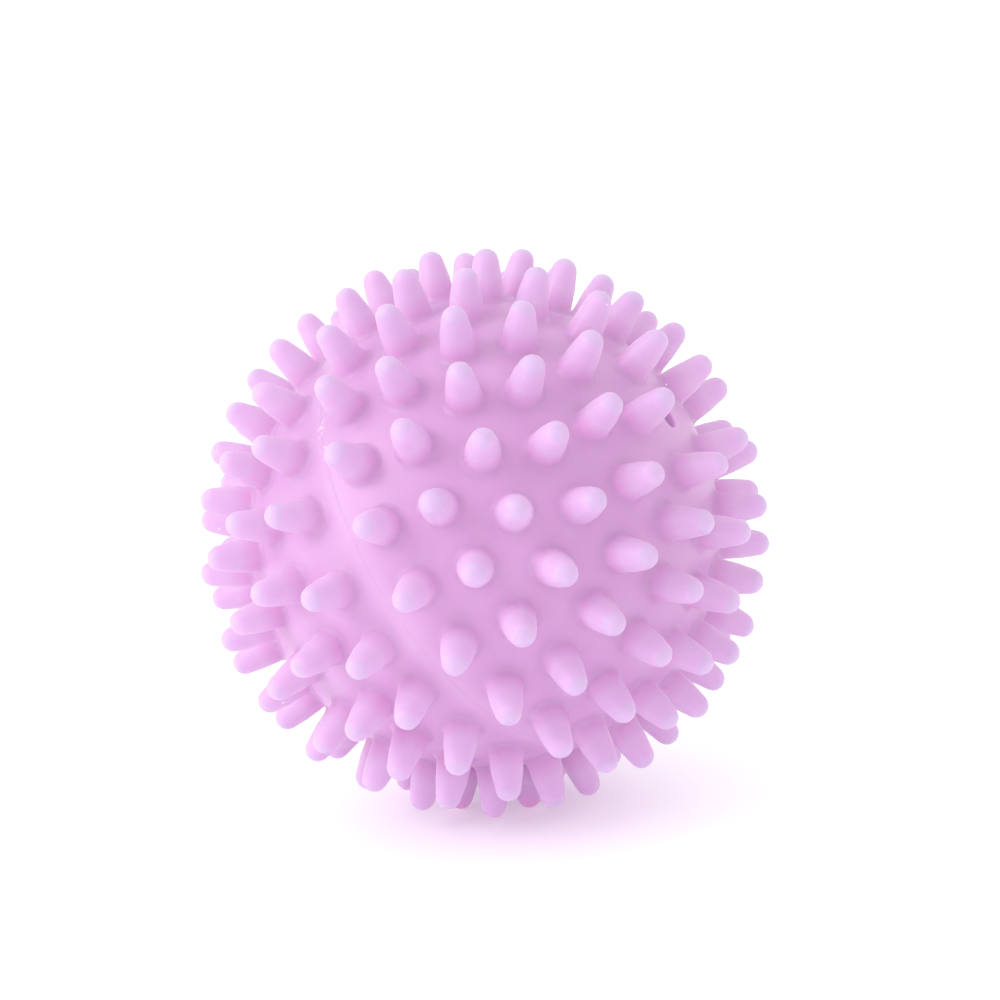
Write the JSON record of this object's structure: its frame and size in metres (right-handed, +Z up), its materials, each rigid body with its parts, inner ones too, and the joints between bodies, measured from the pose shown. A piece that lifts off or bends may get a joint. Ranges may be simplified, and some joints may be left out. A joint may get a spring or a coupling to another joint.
{
  "type": "dryer ball",
  "caption": "Hollow soft vinyl ball with rows of blunt cone-shaped spikes, tumbled with laundry to keep it apart and let warm air through.",
  "frame": {"origin": "centre of the ball, which is the centre of the round shell", "axes": "+Z up as the ball lies on a table on three spike tips; the vent hole looks up, to +X and to the front, which is -Y"},
  "size_m": [0.0646, 0.0646, 0.0645],
  "materials": {
    "soft_vinyl": "soft PVC, moulded, satin, slightly clear"
  },
  "bodies": {
    "root": {"vent_half_shell": "soft_vinyl", "closed_half_shell": "soft_vinyl", "weld_bead": "soft_vinyl", "vent_half_spikes_row_1": "soft_vinyl", "vent_half_spikes_row_2": "soft_vinyl", "vent_half_spikes_row_3": "soft_vinyl", "vent_half_spikes_row_4": "soft_vinyl", "vent_half_spikes_row_5": "soft_vinyl", "vent_half_spikes_row_6": "soft_vinyl", "closed_half_spikes_row_1": "soft_vinyl", "closed_half_spikes_row_2": "soft_vinyl", "closed_half_spikes_row_3": "soft_vinyl", "closed_half_spikes_row_4": "soft_vinyl", "closed_half_spikes_row_5": "soft_vinyl", "closed_half_spikes_row_6": "soft_vinyl"}
  },
  "joints": []
}
